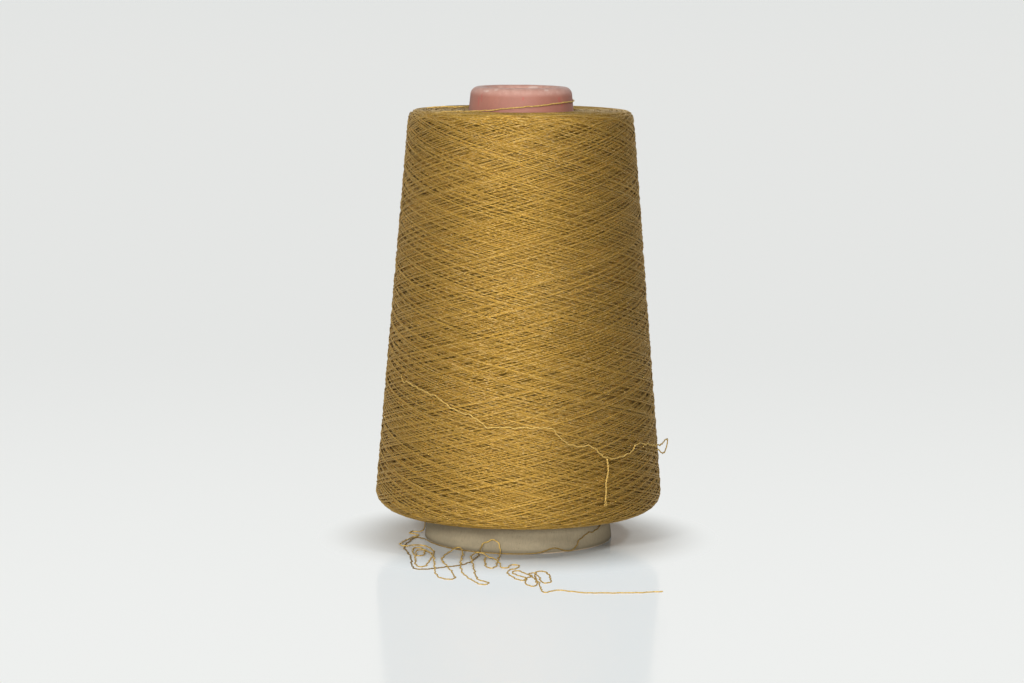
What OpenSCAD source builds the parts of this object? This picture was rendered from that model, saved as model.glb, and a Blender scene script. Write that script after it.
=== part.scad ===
// Cone of thread: a cross-wound package of thread on a tapered paper cone, with its loose ends.
// Millimetres, +Z up. The origin is the centre of the foot, on the surface that the cone stands on.

/* [Paper cone] */
// Height of the cone
cone_length = 170; // [165:1:185]
// Outside diameter of the foot, over the cover paper
foot_d = 70.7; // [68:0.1:78]
// Outside diameter that the straight side would reach at the top
nose_d = 37.3; // [35:0.1:44]
// Thickness of the rolled board, square to the side
board_t = 1.6; // [1:0.1:2.2]
// Thickness of the cover paper
cover_t = 0.3; // [0.1:0.05:0.6]
// Thickness of the coloured nose paper
nose_paper_t = 0.3; // [0.1:0.05:0.6]
// How far the nose paper runs down the outside from the top
nose_paper_depth = 22; // [14:1:40]
// How far the cover paper stops short of the cut edge of the foot
cover_setback = 0.4; // [0.1:0.1:1]
// Outer rounding of the rolled-in nose
lip_outer_r = 3; // [1.5:0.1:3.4]
// Inner rounding of the rolled-in nose
lip_inner_r = 1.2; // [0.8:0.1:1.4]
// Diameter of the hole in the nose, inside the nose paper
nose_bore_d = 28; // [24:0.5:28.5]
// How far the rolled-in edge reaches down inside, from the top
turn_in_depth = 9; // [6:0.5:12]

/* [Thread package] */
// Height of the lowest turns above the foot
package_bottom = 11.5; // [8:0.5:18]
// Height that the turns cover
traverse = 150; // [130:1:150]
// Diameter of the small end, where the straight side would reach the top face
small_end_d = 84.1; // [70:0.1:90]
// Diameter of the large end, where the straight side would reach the bottom face
large_end_d = 109.3; // [100:0.1:120]
// Rounding of the top edge
top_edge_r = 3.5; // [2.5:0.1:6]
// Rounding of the bottom edge
bottom_edge_r = 7; // [4:0.1:9]

// Air left between the first turns and the paper that they lie on
seat_clearance = 0.15; // [0.1:0.05:0.3]

/* [Outer layer of turns] */
// Thickness of the thread
thread_d = 0.4; // [0.3:0.05:0.5]
// Trips down and up again that the layer makes
round_trips = 5; // [2:1:5]
// Turns in one round trip, before the gain that spaces the trips evenly
turns_per_trip = 5; // [3:1:5]
// Air left between two turns where they cross
crossing_gap = 0.45; // [0.42:0.01:0.6]
// Air left between the layer and the turns under it
lay_clearance = 0.2; // [0.15:0.05:0.3]

/* [Loose threads] */
// Air left between a loose thread and what it lies against
loose_clearance = 0.25; // [0.15:0.05:0.4]
// Width of the snarl, two strands twisted together
snarl_d = 0.7; // [0.6:0.05:0.9]

/* [Hidden] */
$fn = 64;

// Cone side
side_angle = atan((foot_d - nose_d) / 2 / cone_length);
paper_joint_z = cone_length - nose_paper_depth;
lip_steps = 8;

// Package
package_top = package_bottom + traverse;
edge_steps = 10;

// Outer layer of turns
rings_per_turn = 24;
winding_sides = 6;
turns_per_round = turns_per_trip - 1 / round_trips;
winding_turns = round_trips * turns_per_round;
reversal_share = 0.03;
reversal_blend = 30;
end_gap_rings = 2;
outer_depth = thread_d / 2;
inner_depth = outer_depth + thread_d + crossing_gap;
chord_share = cos(180 / rings_per_turn);
edge_inset = 1;

// Loose threads
cord_sides = 8;
cord_steps = 2;
nose_turn_steps = 3;
floor_z = thread_d / 2;
lap = 0.5;

// Routes. On the cone's side: [azimuth, height], azimuth 0 at the front (-Y) and positive towards +X.
inner_end_side = [[62, 11], [61, 7.5], [54, 5.5], [46, 6.5], [39, 3.5]];
inner_end_foot = [
    [35, 0.2], [29, 0.4], [22, 2.6], [16, 1], [10, 0.2], [-2, 0.2], [-14, 0.2], [-26, 0.2], [-38, 0.2],
    [-50, 0.2], [-62, 0.2], [-71, 0.2]];
inner_end_lean = [[-22.8, 2.2], [-21, 4], [-17, 5], [-12.5, 4.8], [-10.2, 2.6]];
tail_side = [[-84, 11], [-84, 8], [-87, 4.5], [-94, 1.8]];

// On the floor: [across, in front of the foot, layers of thread underneath]
inner_end_floor = [
    [-35, -26.5, 0], [-36.8, -30, 0], [-39, -29.5, 0], [-40.3, -24, 0], [-42, -17, 0], [-42.5, -10.5, 0],
    [-41.3, -4, 0], [-39.5, 4, 0], [-38.8, 13, 0], [-38.5, 21, 0], [-37.8, 27, 0], [-35.5, 29.5, 0],
    [-32, 28.5, 0], [-27, 25, 0], [-21, 22, 0], [-17.5, 17, 0], [-15.5, 9, 0], [-14.2, 2, 0]];
inner_end_last_loop = [
    [-6.7, 0, 0], [-7.2, 9, 0], [-7.5, 17, 0], [-7.8, 22.5, 0], [-8.8, 26.3, 0], [-10.9, 26.3, 0],
    [-11.8, 22, 0], [-12.1, 14, 0], [-12.2, 7, 0]];
tail_floor = [
    [-37.5, -39.5, 0], [-39.5, -42.5, 0], [-41.3, -41, 0], [-41, -37.5, 0], [-38.7, -36, 0], [-37.3, -34, 0],
    [-38.5, -31.8, 0], [-41, -28, 0], [-43, -21.5, 0], [-44.2, -15, 1], [-43.3, -10.5, 1], [-41, -10, 1],
    [-38.5, -13, 1], [-35.5, -15, 0], [-32.8, -11, 0], [-30.8, -3, 0], [-31, 6, 0], [-32.3, 13, 0],
    [-32.6, 18, 0], [-33, 22, 0], [-34.3, 24.8, 0], [-36.2, 24.5, 0], [-37.2, 20.5, 0], [-37.3, 12, 0],
    [-37.7, 4, 0], [-39.2, -3, 0], [-39, -8, 0], [-37.6, -10.8, 0], [-36, -10.5, 0], [-34.9, -6.5, 0],
    [-34.5, -3, 0]];
tail_loops_floor = [
    [-34.5, -3, 0], [-34.2, 0, 0], [-34.6, 3.8, 0], [-36.2, 5.3, 0], [-37.8, 3.5, 0], [-37.8, -0.5, 1],
    [-36.4, -3.7, 1], [-34.4, -3.8, 1], [-32.8, -0.5, 1], [-31.8, 4, 1], [-31, 8.5, 1], [-30.5, 13.5, 1],
    [-30.3, 20, 1], [-30, 26.5, 1], [-29.8, 32, 1], [-29.3, 38, 0], [-28, 43, 0], [-25.5, 45.5, 0],
    [-23.2, 46.5, 0], [-22.2, 43.5, 0], [-23, 37, 0], [-25, 28, 1], [-26.8, 20, 1], [-28, 12.5, 0],
    [-27.5, 5, 0], [-25.8, -0.5, 0], [-24.4, -3.5, 1], [-23, -5.5, 2], [-21, -5.2, 2], [-20.2, -1, 1],
    [-20.6, 9, 0], [-20.8, 17, 1], [-20.8, 26, 1], [-20, 36, 0], [-17, 45, 0], [-14.5, 52, 0],
    [-12.2, 55, 0], [-10.2, 53.5, 0], [-10.5, 50, 0], [-13, 48, 0]];
tail_knots_floor = [
    [-13, 48, 0], [-14.8, 44.5, 0], [-15.5, 34, 0], [-16.2, 24, 1], [-16.8, 15, 1], [-17.3, 8, 1],
    [-16.6, 3.8, 1], [-14.6, 2.8, 2], [-12.8, 5, 2], [-10.8, 9, 1], [-8.5, 12, 1], [-7.2, 17, 1],
    [-6.6, 21.5, 1], [-6, 24.5, 0], [-4.4, 25.5, 0], [-3.1, 23.5, 0], [-2.6, 21.3, 0], [-0.8, 20.9, 0],
    [0.1, 23.5, 0], [-0.1, 28, 0], [-1.6, 31.3, 0], [-3.9, 32, 0], [-4.2, 35, 0], [-2.2, 37, 0],
    [0.3, 38.5, 0], [2.6, 40, 0], [3.8, 42.8, 0], [3, 46, 0], [0.8, 45, 0], [-1.3, 43.5, 0],
    [-3, 45, 0], [-2, 48, 0], [0.5, 49.5, 0], [2.3, 51.5, 0]];
tail_end_floor = [
    [2.3, 51.5, 0], [3.2, 54.2, 0], [4, 56.6, 0], [6, 56.6, 0], [6.7, 53.8, 0], [6.3, 48, 0],
    [6, 42, 0], [6, 37, 0], [6.7, 33.5, 0], [8.8, 32.7, 0], [10, 36.5, 0], [10.8, 42, 0],
    [11, 47.5, 0], [10.2, 51.5, 0], [8.6, 53, 0], [7.8, 56.5, 0], [7.7, 61.5, 0], [8.4, 66, 0],
    [10.4, 66.5, 0], [12.2, 63, 0], [15, 62, 0], [18.5, 65, 0], [24, 67, 0], [32, 66.5, 0],
    [42, 66, 0], [50, 63.5, 0]];

// On the side of the package: [azimuth, height, lift off the turns]
loose_turn_route = [
    [-59, 64, 0], [-56, 62, 0], [-53, 63.5, 0], [-48, 61.5, 0], [-41, 60.5, 0], [-35, 59, 0],
    [-31, 57, 0], [-25, 54, 0], [-21, 54.5, 0], [-16, 51.5, 0], [-12, 49, 0], [-8, 50, 0],
    [2, 49.5, 0], [12, 50, 0], [15, 48, 0], [17.5, 44.5, 0], [22, 42.2, 0], [30, 42.7, 0],
    [33, 40, 0], [37, 36.5, 0], [44, 37, 0], [50.5, 37.3, 0], [54, 40.3, 0], [58, 40.8, 0],
    [67, 38.5, 0], [78, 37, 0.4], [86, 36.5, 1.6], [90, 38.5, 3], [92.5, 36.5, 3.6], [92, 33.5, 2.6],
    [88, 31.8, 1.2], [83, 34, 0.8]];
snarl_route = [[37, 35.7], [37.7, 33], [37, 30.5], [35.8, 28], [36.2, 25.5], [35.5, 23], [35.5, 20.5]];

// Round the nose: [azimuth, air between the thread and the nose, height above the top face]
nose_turn_route = [
    [-52, 18, 0], [-47, 11, 0], [-42, 4, 0], [-33, 0, 0.3], [-20, 0, 0.9], [-2, 0, 1.6], [16, 0, 2],
    [34, 0, 2.6], [54, 0, 3.2], [76, 0, 3], [100, 0, 3.4], [126, 0, 3.2], [152, 0, 2.6], [178, 0, 2],
    [204, 0, 1.2], [226, 0, 0.5], [238, 3, 0], [246, 9, 0], [252, 17, 0]];

// ---- Shapes of the cone and the package ----

// Radius of the cone's straight side at a height
function cone_r(z) = (foot_d - (foot_d - nose_d) * z / cone_length) / 2;

// Points of an arc about a centre, from one angle to another
function arc(centre, r, from, to, steps) =
    [for (k = [0:steps]) let (a = from + (to - from) * k / steps) centre + r * [cos(a), sin(a)]];

// Outline of the nose, seen from the side, a given depth under its surface: up the outside from the joint
// of the papers, over the rolled edge and down the bore
function nose_outline(depth) =
    let (outer_z = cone_length - lip_outer_r,
         outer = [cone_r(outer_z) - lip_outer_r / cos(side_angle), outer_z],
         inner = [nose_bore_d / 2 + lip_inner_r, cone_length - lip_inner_r])
    concat([[cone_r(paper_joint_z) - depth / cos(side_angle), paper_joint_z]],
           arc(outer, lip_outer_r - depth, side_angle, 90, lip_steps),
           arc(inner, lip_inner_r - depth, 90, 180, lip_steps),
           [[nose_bore_d / 2 + depth, cone_length - turn_in_depth]]);

// Points of a list in reverse order
function reversed(points) = [for (k = [len(points) - 1:-1:0]) points[k]];

// Radius of the package's straight side at a height
function side_r(z) = (small_end_d + (large_end_d - small_end_d) * (package_top - z) / traverse) / 2;

// Radius of the package at a height, a given depth under its surface, with both edges rounded
function package_r(z, depth) =
    let (top_start = package_top - top_edge_r,
         bottom_start = package_bottom + bottom_edge_r)
    z > top_start ? side_r(top_start) - top_edge_r
        + sqrt(max(pow(top_edge_r - depth, 2) - pow(z - top_start, 2), 0))
    : z < bottom_start ? side_r(bottom_start) - bottom_edge_r
        + sqrt(max(pow(bottom_edge_r - depth, 2) - pow(bottom_start - z, 2), 0))
    : side_r(z) - depth;

// How deep the turns under the outer layer lie: under the inner turns, whose straight chords cut in
body_depth = inner_depth + thread_d / 2 + lay_clearance;
function body_r(z) = package_r(z, body_depth) - (1 - chord_share) * side_r(z);
body_top = package_top - body_depth;
body_bottom = package_bottom + body_depth;

// Heights at which the rounded body is drawn, closer together round its edges
body_heights = concat(
    [for (k = [0:edge_steps]) package_bottom + bottom_edge_r
        - (bottom_edge_r - body_depth) * cos(90 * k / edge_steps)],
    [for (k = [0:edge_steps]) package_top - top_edge_r
        + (top_edge_r - body_depth) * sin(90 * k / edge_steps)]);

// ---- Paths and tubes ----

function unit(v) = v / norm(v);
function square_to(v, t) = unit(v - (v * t) * t);
function direction(path, i) = unit(path[min(i + 1, len(path) - 1)] - path[max(i - 1, 0)]);

// A point at an azimuth from the front, a distance from the axis and a height
function around(azimuth, r, z) = [r * sin(azimuth), -r * cos(azimuth), z];

// Smooth run of points that starts and ends at a route's ends and is drawn towards its other points, as a
// cubic B-spline is, with a number of steps from each point to the next
function spline_point(a, b, c, d, s) =
    (pow(1 - s, 3) * a + (3 * pow(s, 3) - 6 * s * s + 4) * b + (3 * s + 3 * s * s - 3 * pow(s, 3) + 1) * c
     + pow(s, 3) * d) / 6;
function smooth(route, steps) =
    let (last = len(route) - 1,
         padded = concat([2 * route[0] - route[1]], route, [2 * route[last] - route[last - 1]]))
    concat([for (i = [0:last - 1]) for (k = [0:steps - 1])
                spline_point(padded[i], padded[i + 1], padded[i + 2], padded[i + 3], k / steps)],
           [route[last]]);

// One solid tube along a path, with round-cornered rings that keep their twist from one to the next
module tube(path, d, sides) {
    last = len(path) - 1;
    normals = [for (i = 0, n = square_to([0.13, 0.29, 1], direction(path, 0)); i <= last;
                    i = i + 1, n = square_to(n, direction(path, min(i, last)))) n];
    rings = [for (i = [0:last]) let (t = direction(path, i), n = normals[i], b = cross(t, n))
                for (k = [0:sides - 1]) let (a = 360 * k / sides)
                    path[i] + d / 2 * (cos(a) * n + sin(a) * b)];
    walls = [for (i = [0:last - 1]) for (k = [0:sides - 1])
                let (p = i * sides + k, q = i * sides + (k + 1) % sides)
                    each [[p, p + sides, q], [q, p + sides, q + sides]]];
    near_end = [for (k = [1:sides - 2]) [0, k, k + 1]];
    far_end = [for (k = [1:sides - 2]) [last * sides, last * sides + k + 1, last * sides + k]];
    polyhedron(concat(rings), concat(walls, near_end, far_end), convexity = 10);
}

// ---- Path of the outer layer ----

// Height of the thread, as a share of the traverse, at a share of a round trip: up, round, and down
function trip_height(u) =
    let (x = 1 - abs(2 * u - 1), w = reversal_share,
         y = min(x, 1 - x), eased = y < w ? w / 2 + y * y / (2 * w) : y)
    x < 0.5 ? eased : 1 - eased;

// 0 while the thread climbs, on the inner level, and 1 while it comes down, on the outer level
function trip_level(u) =
    let (turn_angle = turns_per_round * 360,
         past_top = (u - 0.5) * turn_angle,
         past_bottom = (u < 0.5 ? u : u - 1) * turn_angle)
    u > 0.25 && u < 0.75 ? min(max(0.5 + past_top / reversal_blend, 0), 1)
    : min(max(0.5 - past_bottom / reversal_blend, 0), 1);

// The layer starts a quarter of a trip in, half way up the side
function winding_point(i) =
    let (turn = i / rings_per_turn,
         trip = turn / turns_per_round + 0.25,
         u = trip - floor(trip),
         z = package_bottom + edge_inset + inner_depth
             + (traverse - 2 * (edge_inset + inner_depth)) * trip_height(u),
         depth = inner_depth + (outer_depth - inner_depth) * trip_level(u))
    around(turn * 360, package_r(z, depth), z);

// A short end square to the turns underneath, from them to a point of the layer
function rooted(p) =
    let (azimuth = atan2(p.x, -p.y))
    around(azimuth, body_r(p.z), p.z);

last_ring = round(winding_turns * rings_per_turn) - end_gap_rings;
winding_path = let (turns = [for (i = [0:last_ring]) winding_point(i)])
    concat([rooted(turns[0])], turns, [rooted(turns[last_ring])]);

// Least distance between two straight stretches, measured at points along the first
function stretch_gap(a, b, c, d) =
    min([for (s = [0:0.125:1]) let (p = a + s * (b - a), w = d - c,
         t = min(max((p - c) * w / (w * w), 0), 1)) norm(p - c - t * w)]);

// Least air between the layer and itself. Only stretches in the same or the next sector can come near.
winding_gap = let (n = rings_per_turn)
    min([for (i = [0:last_ring + 1 - n]) for (turn = [1:ceil((last_ring + 1 - i) / n)]) for (side = [-1:1])
            let (j = i + turn * n + side)
            if (j <= last_ring + 1) stretch_gap(winding_path[i], winding_path[i + 1],
                                           winding_path[j], winding_path[j + 1])]) - thread_d;
echo(winding_loops = winding_turns, least_gap_of_the_layer_to_itself = winding_gap);

// ---- Paths of the loose threads ----

// Distance of a loose thread's centre from what it lies against
stand_off = thread_d / 2 + loose_clearance;
function on_cone(p) = around(p[0], cone_r(p[1]) + stand_off, p[1]);
function on_floor(p) = [p[0], -foot_d / 2 - p[1], floor_z + p[2] * lap];
function on_package(p) = around(p[0], package_r(p[1], 0) + stand_off + p[2], p[1]);
function by_nose(p) =
    let (z = package_top + thread_d / 2 + p[2])
    around(p[0], cone_r(z) + stand_off + p[1], z);

inner_end_start = [inner_end_side[0][0], body_bottom];
inner_end_path = [for (p = smooth(concat([inner_end_start], inner_end_side, inner_end_foot), cord_steps))
                     on_cone(p)];
inner_end_tangle_path = smooth(concat(
    [on_cone(inner_end_foot[len(inner_end_foot) - 1])],
    [for (p = inner_end_floor) on_floor(p)],
    [for (p = inner_end_lean) on_cone(p)],
    [for (p = inner_end_last_loop) on_floor(p)]), cord_steps);
tail_path = smooth(concat(
    [on_cone([tail_side[0][0], body_bottom])],
    [for (p = tail_side) on_cone(p)],
    [for (p = tail_floor) on_floor(p)]), cord_steps);
tail_loops_path = smooth([for (p = tail_loops_floor) on_floor(p)], cord_steps);
tail_knots_path = smooth([for (p = tail_knots_floor) on_floor(p)], cord_steps);
tail_end_path = smooth([for (p = tail_end_floor) on_floor(p)], cord_steps);
loose_turn_path = [for (p = smooth(loose_turn_route, cord_steps)) on_package(p)];
snarl_path = [for (p = smooth(snarl_route, cord_steps)) on_package([p[0], p[1], (snarl_d - thread_d) / 2])];
nose_turn_path = [for (p = smooth(nose_turn_route, nose_turn_steps)) by_nose(p)];

// ---- Parts ----

// Tapered wall of rolled board, its top edge rolled in to form the nose
module cone_board() {
    inner_depth_of_wall = (cover_t + board_t) / cos(side_angle);
    turn_in_z = cone_length - turn_in_depth;
    color("tan") rotate_extrude()
        polygon(concat(
            [[cone_r(0) - cover_t / cos(side_angle), 0],
             [cone_r(paper_joint_z) - cover_t / cos(side_angle), paper_joint_z]],
            nose_outline(nose_paper_t),
            [[cone_r(turn_in_z) - inner_depth_of_wall, turn_in_z],
             [cone_r(0) - inner_depth_of_wall, 0]]));
}

// Plain paper glued over the board, from the foot to the nose paper
module cone_cover_paper() {
    back = cover_t / cos(side_angle);
    color("#b5a78f") rotate_extrude()
        polygon([[cone_r(cover_setback), cover_setback],
                 [cone_r(paper_joint_z), paper_joint_z],
                 [cone_r(paper_joint_z) - back, paper_joint_z],
                 [cone_r(cover_setback) - back, cover_setback]]);
}

// Coloured paper over the nose, rolled in with the board
module nose_paper() {
    color("#d0907c") rotate_extrude()
        polygon(concat(nose_outline(0), reversed(nose_outline(nose_paper_t))));
}

// All the turns of thread under the outer layer, wound tight on the cone
module winding_body() {
    color("#a8842f") rotate_extrude()
        polygon(concat(
            [[cone_r(body_bottom) + seat_clearance, body_bottom]],
            [for (z = body_heights) [body_r(z), z]],
            [[cone_r(body_top) + seat_clearance, body_top]]));
}

// Outer turns of the thread, one unbroken run up and down the package
module winding_outer_layer() {
    color("#c89b3c") tube(winding_path, thread_d, winding_sides);
}

// First end of the thread, from under the package down the cone and round its foot
module inner_end() {
    color("#a8772e") tube(inner_end_path, thread_d, cord_sides);
}

// Rest of the first end, through the tangle and a loop that leans on the cone to its bare end
module inner_end_tangle() {
    color("#b58233") tube(inner_end_tangle_path, thread_d, cord_sides);
}

// Last end of the thread, from under the package into the tangle
module thread_tail() {
    color("#d6a545") tube(tail_path, thread_d, cord_sides);
}

// Next stretch of the last end, through the wide loops
module thread_tail_loops() {
    color("#cf9c3d") tube(tail_loops_path, thread_d, cord_sides);
}

// Next stretch of the last end, past the cone to the small knots
module thread_tail_knots() {
    color("#dcae4c") tube(tail_knots_path, thread_d, cord_sides);
}

// Rest of the last end, through the last loop to the bare free end
module thread_tail_end() {
    color("#e2b658") tube(tail_end_path, thread_d, cord_sides);
}

// A turn pulled loose over the front of the package
module loose_turn() {
    color("#e0b75a") tube(loose_turn_path, thread_d, cord_sides);
}

// Doubled thread twisted on itself, hanging from the loose turn
module loose_turn_snarl() {
    color("#e6c063") tube(snarl_path, snarl_d, cord_sides);
}

// A turn slipped over the top edge, lying round the nose
module nose_turn() {
    color("#c48b45") tube(nose_turn_path, thread_d, cord_sides);
}

cone_board();
cone_cover_paper();
nose_paper();
winding_body();
winding_outer_layer();
inner_end();
inner_end_tangle();
thread_tail();
thread_tail_loops();
thread_tail_knots();
thread_tail_end();
loose_turn();
loose_turn_snarl();
nose_turn();
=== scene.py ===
import math
import random

import bmesh
import bpy
import numpy as np
from bpy.props import FloatProperty, FloatVectorProperty, IntProperty, PointerProperty
from mathutils import Matrix, Vector


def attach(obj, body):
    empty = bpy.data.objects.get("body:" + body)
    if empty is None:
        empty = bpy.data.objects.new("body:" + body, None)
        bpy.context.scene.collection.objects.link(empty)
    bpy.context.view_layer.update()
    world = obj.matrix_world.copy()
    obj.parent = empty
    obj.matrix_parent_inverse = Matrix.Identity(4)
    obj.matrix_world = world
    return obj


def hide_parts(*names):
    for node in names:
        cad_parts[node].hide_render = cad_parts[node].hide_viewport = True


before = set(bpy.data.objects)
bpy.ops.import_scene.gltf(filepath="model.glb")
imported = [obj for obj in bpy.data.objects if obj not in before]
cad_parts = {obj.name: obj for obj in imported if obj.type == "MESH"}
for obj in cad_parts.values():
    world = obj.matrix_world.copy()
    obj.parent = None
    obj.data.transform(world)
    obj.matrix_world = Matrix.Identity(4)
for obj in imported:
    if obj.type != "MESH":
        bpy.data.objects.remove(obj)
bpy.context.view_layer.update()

bl_info = {
    "name": "Cone of Thread",
    "version": (1, 0, 0),
    "blender": (4, 5, 0),
    "location": "View3D > Sidebar > Thread Cone",
    "description": "Dresses a cone of cross-wound thread: its turns, its papers and its loose ends",
    "category": "Object",
}

PANEL_TAB = "Thread Cone"
MM = 0.001

# The threads' two maps: one lies along the thread, and in the other no two faces overlap
THREAD_MAP = "Thread"
BAKE_MAP = "OFBake"
# Points of a wound thread's path in one turn round the package, and steps between two points of a route
RINGS_PER_TURN = 45
SPLINE_STEPS = 12
# Points of a loose thread's path in one twist of its plies
TWIST_STEPS = 14
# Share of a trip up or down the package over which the thread turns back
EASE = 0.05
# Step between the slots of two trips that follow on each other, as a share of all slots: in the outermost
# layer, and more in each layer under it
SLOT_STEP = (0.09, 0.13)
# How far the low turnings and the high ones stray, in slots, and from where to where they lie, past the
# inside of the lower edge and past the end of the upper one
LOW_STRAY = 0.25
HIGH_STRAY = 0.3
LOW_REACH = (-1.5, 4.5)
HIGH_REACH = (-3.5, 1.8)
# Turns on the end faces: from one to the next, their depth, how far they lap over the edge, and how far off
# the cone they end
FACE_GAP = 0.62 * MM
FACE_DEPTH = 0.05 * MM
FACE_LAP = 1.5 * MM
FACE_END = 0.8 * MM
# Sides of a loose thread's section, and the share by which its two plies bulge
PLY_SIDES = 10
LOOSE_LOBES = 0.14
SNARL_LOBES = 0.16
# The snarl: length of a twist of its two strands, their thickness and their distance from their middle as
# shares of the wound thread's thickness, and the part of its length past which they spread, with how far
SNARL_TWIST = 2.6 * MM
SNARL_STRAND = 0.92
SNARL_APART = 0.47
SNARL_OPENS = 0.86
SNARL_SPREAD = 0.35 * MM
# Height above the lowest turns at which the thread's two ends come out
END_START = 1.45 * MM
# Height under which a loose thread lies flat on the floor
FLAT_BELOW = 2 * MM
# The thread wound tight and loose: its relief, the share of its reflection that takes its own colour, and
# the share of pale flecks, partly pale fibres and partly painted glints, with their colour
WOUND_LOOK = (0.012 * MM, 0.93, 0.4)
LOOSE_LOOK = (0.02 * MM, 0.3, 0.15)
FLECK_AND_PAINTED_GLINT = (0.60, 0.48, 0.28)
# Painted shade on the first end's first stretch: how dark, and lengths along it between which that fades
FIRST_END_SHADE = 0.75
FIRST_END_SHADE_FADE = (0.2, 0.208)
# How fast the crossed lines of the deep turns follow on each other, per radian round and per metre up
DEEP_ROUND = 100
DEEP_UP = 8000
# Air between the deep turns and the cone, and the steps in which they and the nose paper are spun
SEAT = 0.15 * MM
CORE_STEPS = 128
NOSE_STEPS = 240
# The nose paper's unevenness, as size, waves round the nose and start, with how far it moves the paper out
# and up, and the number of pleats inside its hole
NOSE_WAVES = ((0.5, 2, 0.7), (0.3, 5, 0), (0.2, 9, 0))
NOSE_BULGE = 0.05 * MM
NOSE_RISE = 0.06 * MM
PLEATS = 22
# Depths inside the hole at which the nose paper's outline has points, and the part of its thickness that is
# modelled, so that it stays clear of the board
NOSE_DOWN = (0.0025, 0.004, 0.006)
PAPER_LAID = 0.9
# The nose paper's colours on its shoulder, partly worn and partly painted highlight, worn white and rubbed
# red
NOSE_WORN_AND_HIGHLIGHT = (0.62, 0.40, 0.33)
NOSE_BARE = (0.62, 0.50, 0.44)
NOSE_RED = (0.42, 0.09, 0.07)
# Marks on the nose paper, rubbed red or worn white: azimuth, height, half-width and half-height
NOSE_SCUFFS = (
    (-50, 0.1664, 0.0005, 0.002), (-55, 0.165, 0.0006, 0.0022), (2, 0.1664, 0.0005, 0.0009),
    (47, 0.1658, 0.001, 0.0014), (51, 0.1642, 0.0006, 0.0016), (140, 0.1655, 0.001, 0.0025),
    (213, 0.167, 0.0014, 0.001))
NOSE_CHIPS = (
    (-45, 0.1689, 0.0018, 0.0006), (-31, 0.1694, 0.001, 0.0004), (31, 0.1694, 0.0012, 0.0004),
    (160, 0.1692, 0.0025, 0.0006))

# The floor's radius, far wider than the picture
FLOOR_RADIUS = 40
# Distances behind the cone's axis between which the floor's front paleness fades into the backdrop's, and
# distances all round it between which the floor stops taking shadow
FLOOR_FADE = (-0.25, 0.6)
SHADOW_FADE = (0.042, 0.076)
# Parts of the room's width and depth over which its brightness changes, from -1 at the left or front to 1
ROOM_SIDES = (-0.7, 0.3)
ROOM_DEPTH = (0.5, 0.9)
# The floor's white as the camera sees it in its shadows, and as it lights the cone
FLOOR_SEEN = (0.675, 0.722, 0.73)
FLOOR_WHITE = (0.7, 0.7, 0.7)
# The floor's gloss: its height above the floor, how rough it is and the tint of what it mirrors
POLISH_HEIGHT = 0.02 * MM
POLISH_ROUGH = 0.12
POLISH_TINT = (1.0, 0.77, 0.6)
# How bright the room's dark sides are in a mirror, as a share of its pale ones
MIRRORED_DARK = 0.15
# A shadow painted on the floor close to the foot, in the floor's white as the camera sees it: its middle, the
# distances from it between which it fades, and how dark it is
PAINTED_SHADOW_MIDDLE = (0.008, -0.016)
PAINTED_SHADOW_FADE = (0.022, 0.036)
PAINTED_SHADOW_DARK = 0.3

# Lamps: name, place, height on the cone's axis that it is aimed at, width, height and colour
LAMPS = (
    ("Key", (-0.65, -1.33, 0.65), 0.08, 0.25, 0.25, (1, 0.985, 0.96)),
    ("Front", (0.28, -1.57, 0.4), 0.06, 0.4, 0.25, (1, 1, 1)),
    ("Top", (0.85, -0.55, 1.15), 0.1, 0.2, 0.2, (1, 1, 1)),
    ("Side", (-1.2, -0.6, 0.12), 0.05, 0.5, 0.2, (1, 1, 1)))

# Routes of the loose threads. On the cone's side: azimuth in degrees, 0 at the front (-Y) and positive
# towards +X, and height in metres. On the floor: distance to the right of the axis, distance in front of the
# foot's front, and the number of threads underneath. On the package: azimuth, height and distance off it.
# By the nose: azimuth, distance off it and height above the package's top face.
FIRST_END_SIDE = (
    (62, 0.011), (61, 0.0075), (54, 0.0055), (46, 0.0065), (39, 0.0035))
FIRST_END_FOOT = (
    (35, 0.0002), (29, 0.0004), (22, 0.0026), (16, 0.001), (10, 0.0002), (-2, 0.0002), (-14, 0.0002),
    (-26, 0.0002), (-38, 0.0002), (-50, 0.0002), (-62, 0.0002), (-71, 0.0002))
FIRST_END_LEAN = (
    (-22.8, 0.0022), (-21, 0.004), (-17, 0.005), (-12.5, 0.0048), (-10.2, 0.0026))
FIRST_END_FLOOR = (
    (-0.035, -0.0265, 0), (-0.0368, -0.03, 0), (-0.039, -0.0295, 0), (-0.0403, -0.024, 0),
    (-0.042, -0.017, 0), (-0.0425, -0.0105, 0), (-0.0413, -0.004, 0), (-0.0395, 0.004, 0),
    (-0.0388, 0.013, 0), (-0.0385, 0.021, 0), (-0.0378, 0.027, 0), (-0.0355, 0.0295, 0),
    (-0.032, 0.0285, 0), (-0.027, 0.025, 0), (-0.021, 0.022, 0), (-0.0175, 0.017, 0), (-0.0155, 0.009, 0),
    (-0.0142, 0.002, 0))
FIRST_END_LOOP = (
    (-0.0067, 0, 0), (-0.0072, 0.009, 0), (-0.0075, 0.017, 0), (-0.0078, 0.0225, 0), (-0.0088, 0.0263, 0),
    (-0.0109, 0.0263, 0), (-0.0118, 0.022, 0), (-0.0121, 0.014, 0), (-0.0122, 0.007, 0))
LAST_END_SIDE = (
    (-84, 0.011), (-84, 0.008), (-87, 0.0045), (-94, 0.0018))
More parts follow.
